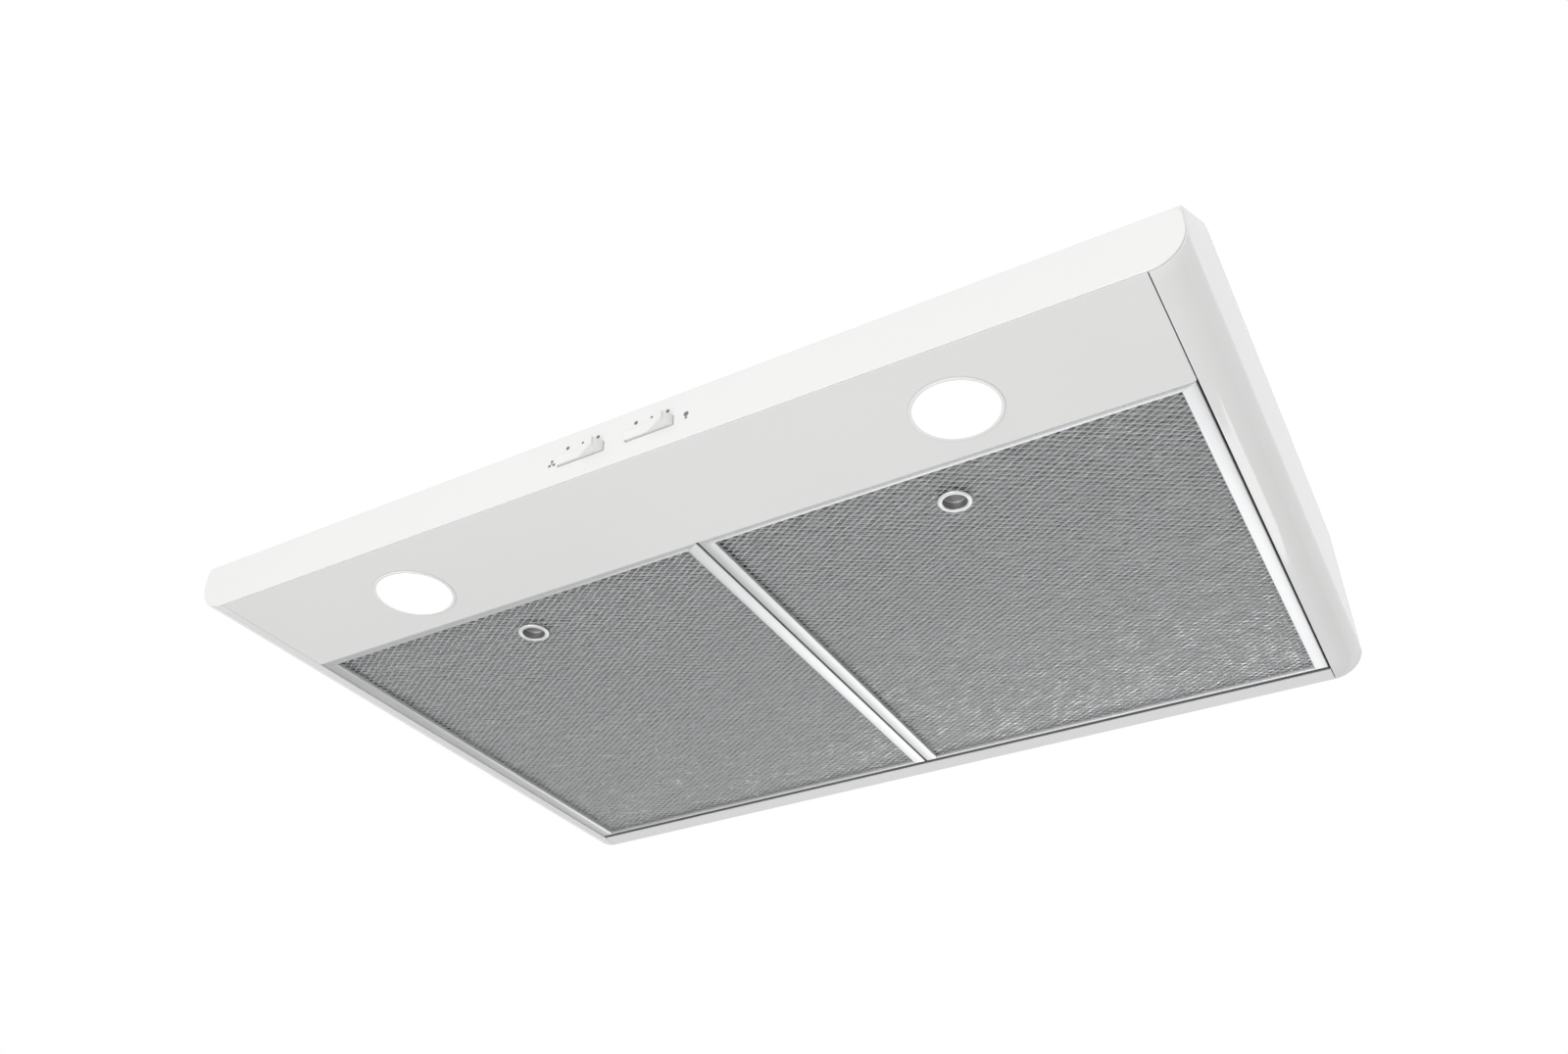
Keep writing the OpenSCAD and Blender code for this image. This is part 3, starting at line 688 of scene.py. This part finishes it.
def build_filters():
    for side, sign in SIDES:
        body = f"filter_{side}"
        place(filter_frame(sign, side), body, "filter_aluminium", f"filter_frame_{side}")
        place(filter_tabs(sign, side), body, "filter_aluminium")
        face = expanded_mesh(f"filter_mesh_face_{side}", sign, FACE_LAYER)
        place(face, body, "mesh_aluminium", f"filter_mesh_{side}")
        middle = expanded_mesh(f"filter_mesh_middle_{side}", sign, MIDDLE_LAYER)
        place(middle, body, "mesh_aluminium")
        # The pad's dark finish is painted shade for the depth of the filter.
        pad = crushed_pad(f"filter_mesh_pad_{side}", sign)
        place(pad, body, "mesh_aluminium", finish="pad_aluminium")
        place(pull_ring(sign, side), body, "ring_aluminium", f"filter_pull_{side}")
        # The cup's inside takes the darkened aluminium: painted shade in the hollow.
        inside = pull_cup(sign, side, "pull_cup_inside", 0.0, CUP_START)
        place(inside, body, "ring_aluminium", finish="cup_aluminium_painted_shade")
        outside = pull_cup(sign, side, "pull_cup_back", PULL_WALL, PULL_RING_H)
        place(outside, body, "ring_aluminium")
    # The rail's black is painted shade: it makes the shadowed gap behind the filters' rear edges dark.
    rail = softened_copy("filter_rail", "rear_rail", width=0.4 * MM, segments=2)
    place(rail, "hood", "black_plastic", "filter_rail")


# ---- lights ----

BEZEL_RIM = 1 * MM
BEZEL_EDGE_R = 0.7 * MM
BEZEL_CORNER = 0.6 * MM
BEZEL_WALL = 0.6 * MM
BEZEL_SKIRT_H = 5 * MM
LENS_GAP = 0.1 * MM
LENS_EDGE = 0.2 * MM
LENS_T = 2.8 * MM
LENS_DOME = 1.2 * MM
LENS_RINGS = 36


def lamp_bezel(sign, side):
    """A thin trim ring with a rounded edge, and a skirt that stands up round the lens."""
    outer = (bezel_hi.x - bezel_lo.x) / 2
    bore = (lens_hi.x - lens_lo.x) / 2 + LENS_GAP
    skirt = bore + BEZEL_WALL
    inset = outer - 0.3 * BEZEL_RIM
    nip = BEZEL_CORNER / 4
    profile = [(inset, BEZEL_RIM), (outer, BEZEL_RIM * 0.8)]
    profile += arc(outer - BEZEL_EDGE_R, BEZEL_EDGE_R, BEZEL_EDGE_R, 0, -90, 6)
    profile += [(bore + BEZEL_CORNER, 0), (bore + nip, nip), (bore, BEZEL_CORNER), (bore, BEZEL_SKIRT_H)]
    profile += [(skirt, BEZEL_SKIRT_H), (skirt, BEZEL_RIM), (inset, BEZEL_RIM)]
    return lathe(f"light_bezel_{side}", profile, low_centre(sign, bezel_lo, bezel_hi), steps=96)


def lamp_lens(sign, side):
    """A domed lens, fluted in fine rings round a plain centre."""
    r = (lens_hi.x - lens_lo.x) / 2
    plain = 0.3
    flute_depth = 0.08 * MM
    profile = [(0, LENS_T), (r, LENS_T), (r, LENS_DOME + LENS_EDGE)]
    for i in range(LENS_RINGS + 1):
        t = 1 - i / LENS_RINGS
        flute = flute_depth if i % 2 and t > plain else 0.0
        profile.append((r * t, LENS_DOME * t * t + flute))
    return lathe(f"light_lens_{side}", profile, low_centre(sign, lens_lo, lens_hi), steps=96)


def build_lights():
    for side, sign in SIDES:
        place(lamp_bezel(sign, side), "hood", "bezel_white", f"lamp_bezel_{side}")
        place(lamp_lens(sign, side), "hood", "lens_glass", f"lamp_lens_{side}")


# ---- switches and their printed marks ----

SWITCH_X = {"left": -26.2 * MM, "right": 28.7 * MM}
MARKS_Z = Z_LOW + 27.7 * MM
MARK_SPREAD = 12.3 * MM
END_MARK_R = 1.5 * MM
MIDDLE_MARK_R = 0.95 * MM
INK_T = 0.03 * MM

# Each sign's centre and reach.
FAN_SIGN = (-50.8 * MM, Z_LOW + 18.6 * MM, 3.4 * MM)
LAMP_SIGN = (55.5 * MM, Z_LOW + 18.8 * MM, 3.1 * MM)


def build_buttons():
    for side, _ in SIDES:
        button = softened_copy(f"rocker_{side}", f"button_cap_{side}", width=0.6 * MM, segments=4)
        place(button, f"button_{side}", "white_plastic", f"rocker_{side}")


def printed_disc(x, z, r, steps=20):
    angles = [2 * math.pi * i / steps for i in range(steps)]
    return [(x + r * math.cos(a), z + r * math.sin(a)) for a in angles]


def fan_icon(x, z, r):
    """Three plain blades round a hub."""
    reach = r * 0.62
    shapes = [printed_disc(x, z, r * 0.2)]
    for blade in range(3):
        a = math.radians(90 + 120 * blade)
        shapes.append(printed_disc(x + reach * math.cos(a), z + reach * math.sin(a), r * 0.34))
    return shapes


def lamp_icon(x, z, r):
    """A round bulb and its cap."""
    bulb = printed_disc(x, z + r * 0.25, r * 0.62)
    half_cap = r * 0.3
    top = z - r * 0.5
    cap = [(x - half_cap, z - r), (x + half_cap, z - r), (x + half_cap, top), (x - half_cap, top)]
    return [bulb, cap]


def print_on_fascia(name, shapes):
    """Flat ink shapes a hair in front of the fascia's face."""
    verts, faces = [], []
    for shape in shapes:
        faces.append(tuple(range(len(verts), len(verts) + len(shape))))
        verts += [(x, Y_FRONT - INK_T, z) for x, z in shape]
    obj = mesh_object(name, verts, faces, smooth=False)
    place(obj, "hood", "black_plastic", finish="print_grey")


def build_print():
    """A large, a small and a large dot above each switch, and a plain sign beside each."""
    for side, _ in SIDES:
        centre = SWITCH_X[side]
        marks = [printed_disc(centre + dx, MARKS_Z, r)
                 for dx, r in ((-MARK_SPREAD, END_MARK_R), (0, MIDDLE_MARK_R), (MARK_SPREAD, END_MARK_R))]
        print_on_fascia(f"switch_marks_{side}", marks)
    print_on_fascia("fan_sign", fan_icon(*FAN_SIGN))
    print_on_fascia("lamp_sign", lamp_icon(*LAMP_SIGN))


# ---- surroundings ----

FLOOR_DROP = 1.5
FLOOR_Z = cad_box[0].z - FLOOR_DROP
FLOOR_HALF_W = 14.0
GLOW_Z = FLOOR_Z + 0.05


def build_floor():
    """A plain pale floor well below the hood."""
    w = FLOOR_HALF_W
    verts = [(x, y, FLOOR_Z) for x, y in ((-w, -w), (w, -w), (w, w), (-w, w))]
    floor = mesh_object("floor", verts, [(0, 1, 2, 3)], smooth=False)
    mat = material("floor_paint", (0.6, 0.6, 0.6), rough=0.85)
    tone = noise(mat, surface_coordinates(mat), scale=1.2, detail=2.0)
    vary_color(mat, tone, (0.59, 0.59, 0.59), (0.61, 0.61, 0.61))
    floor.data.materials.append(mat)
    return floor


def area_light(name, location, target, size, power):
    """A soft rectangular light that the camera itself doesn't see."""
    data = bpy.data.lights.new(name, "AREA")
    data.shape = "RECTANGLE"
    data.size, data.size_y = size
    data.energy = power
    obj = new_object(name, data)
    obj.location = location
    obj.rotation_euler = (Vector(target) - Vector(location)).to_track_quat("-Z", "Y").to_euler()
    obj.visible_camera = False
    return obj


def keep_light_off(light, obj):
    """The light falls on everything but the object."""
    skipped = bpy.data.collections.new(f"{light.name}_skips")
    skipped.objects.link(obj)
    skipped.collection_objects[0].light_linking.link_state = "EXCLUDE"
    light.light_linking.receiver_collection = skipped


def build_lighting(floor):
    """A white studio, one low key in front, and two glows that stand for light off a pale floor."""
    world = bpy.data.worlds.new("studio")
    bpy.context.scene.world = world
    world.use_nodes = True
    background = world.node_tree.nodes["Background"]
    background.inputs["Color"].default_value = (1.0, 1.0, 1.0, 1.0)
    background.inputs["Strength"].default_value = 1.0
    key = area_light("front_key", location=(0.12, -2.0, -1.3), target=(0, 0, -0.12),
                     size=(2.0, 1.2), power=30)
    keep_light_off(key, floor)
    area_light("front_floor_glow", location=(0.2, -1.0, GLOW_Z), target=(0.2, -1.0, 1.0),
               size=(2.8, 1.6), power=6.5)
    area_light("rear_floor_glow", location=(-0.25, 2.08, GLOW_Z), target=(-0.25, 2.08, 1.0),
               size=(2.4, 0.6), power=19)


CAMERA_LENS = 31.81
CAMERA_SPOT = (0.4393, Y_FRONT - 0.5662, Z_LOW - 0.5567)
CAMERA_YAW = math.radians(28.86)
CAMERA_PITCH = math.radians(35.56)


def build_camera():
    """The view from in front, to the right and below, looking up."""
    data = bpy.data.cameras.new("camera")
    data.sensor_width = 36.0
    data.lens = CAMERA_LENS
    data.clip_end = 60.0
    level = math.cos(CAMERA_PITCH)
    heading = Vector((-math.sin(CAMERA_YAW) * level, math.cos(CAMERA_YAW) * level, math.sin(CAMERA_PITCH)))
    obj = new_object("camera", data)
    obj.location = CAMERA_SPOT
    obj.rotation_mode = "QUATERNION"
    obj.rotation_quaternion = heading.to_track_quat("-Z", "Y")
    bpy.context.scene.camera = obj


dress_cad_nodes()
build_shell()
build_filters()
build_lights()
build_buttons()
build_print()
build_lighting(build_floor())
build_camera()
bpy.context.scene.view_settings.view_transform = "Standard"
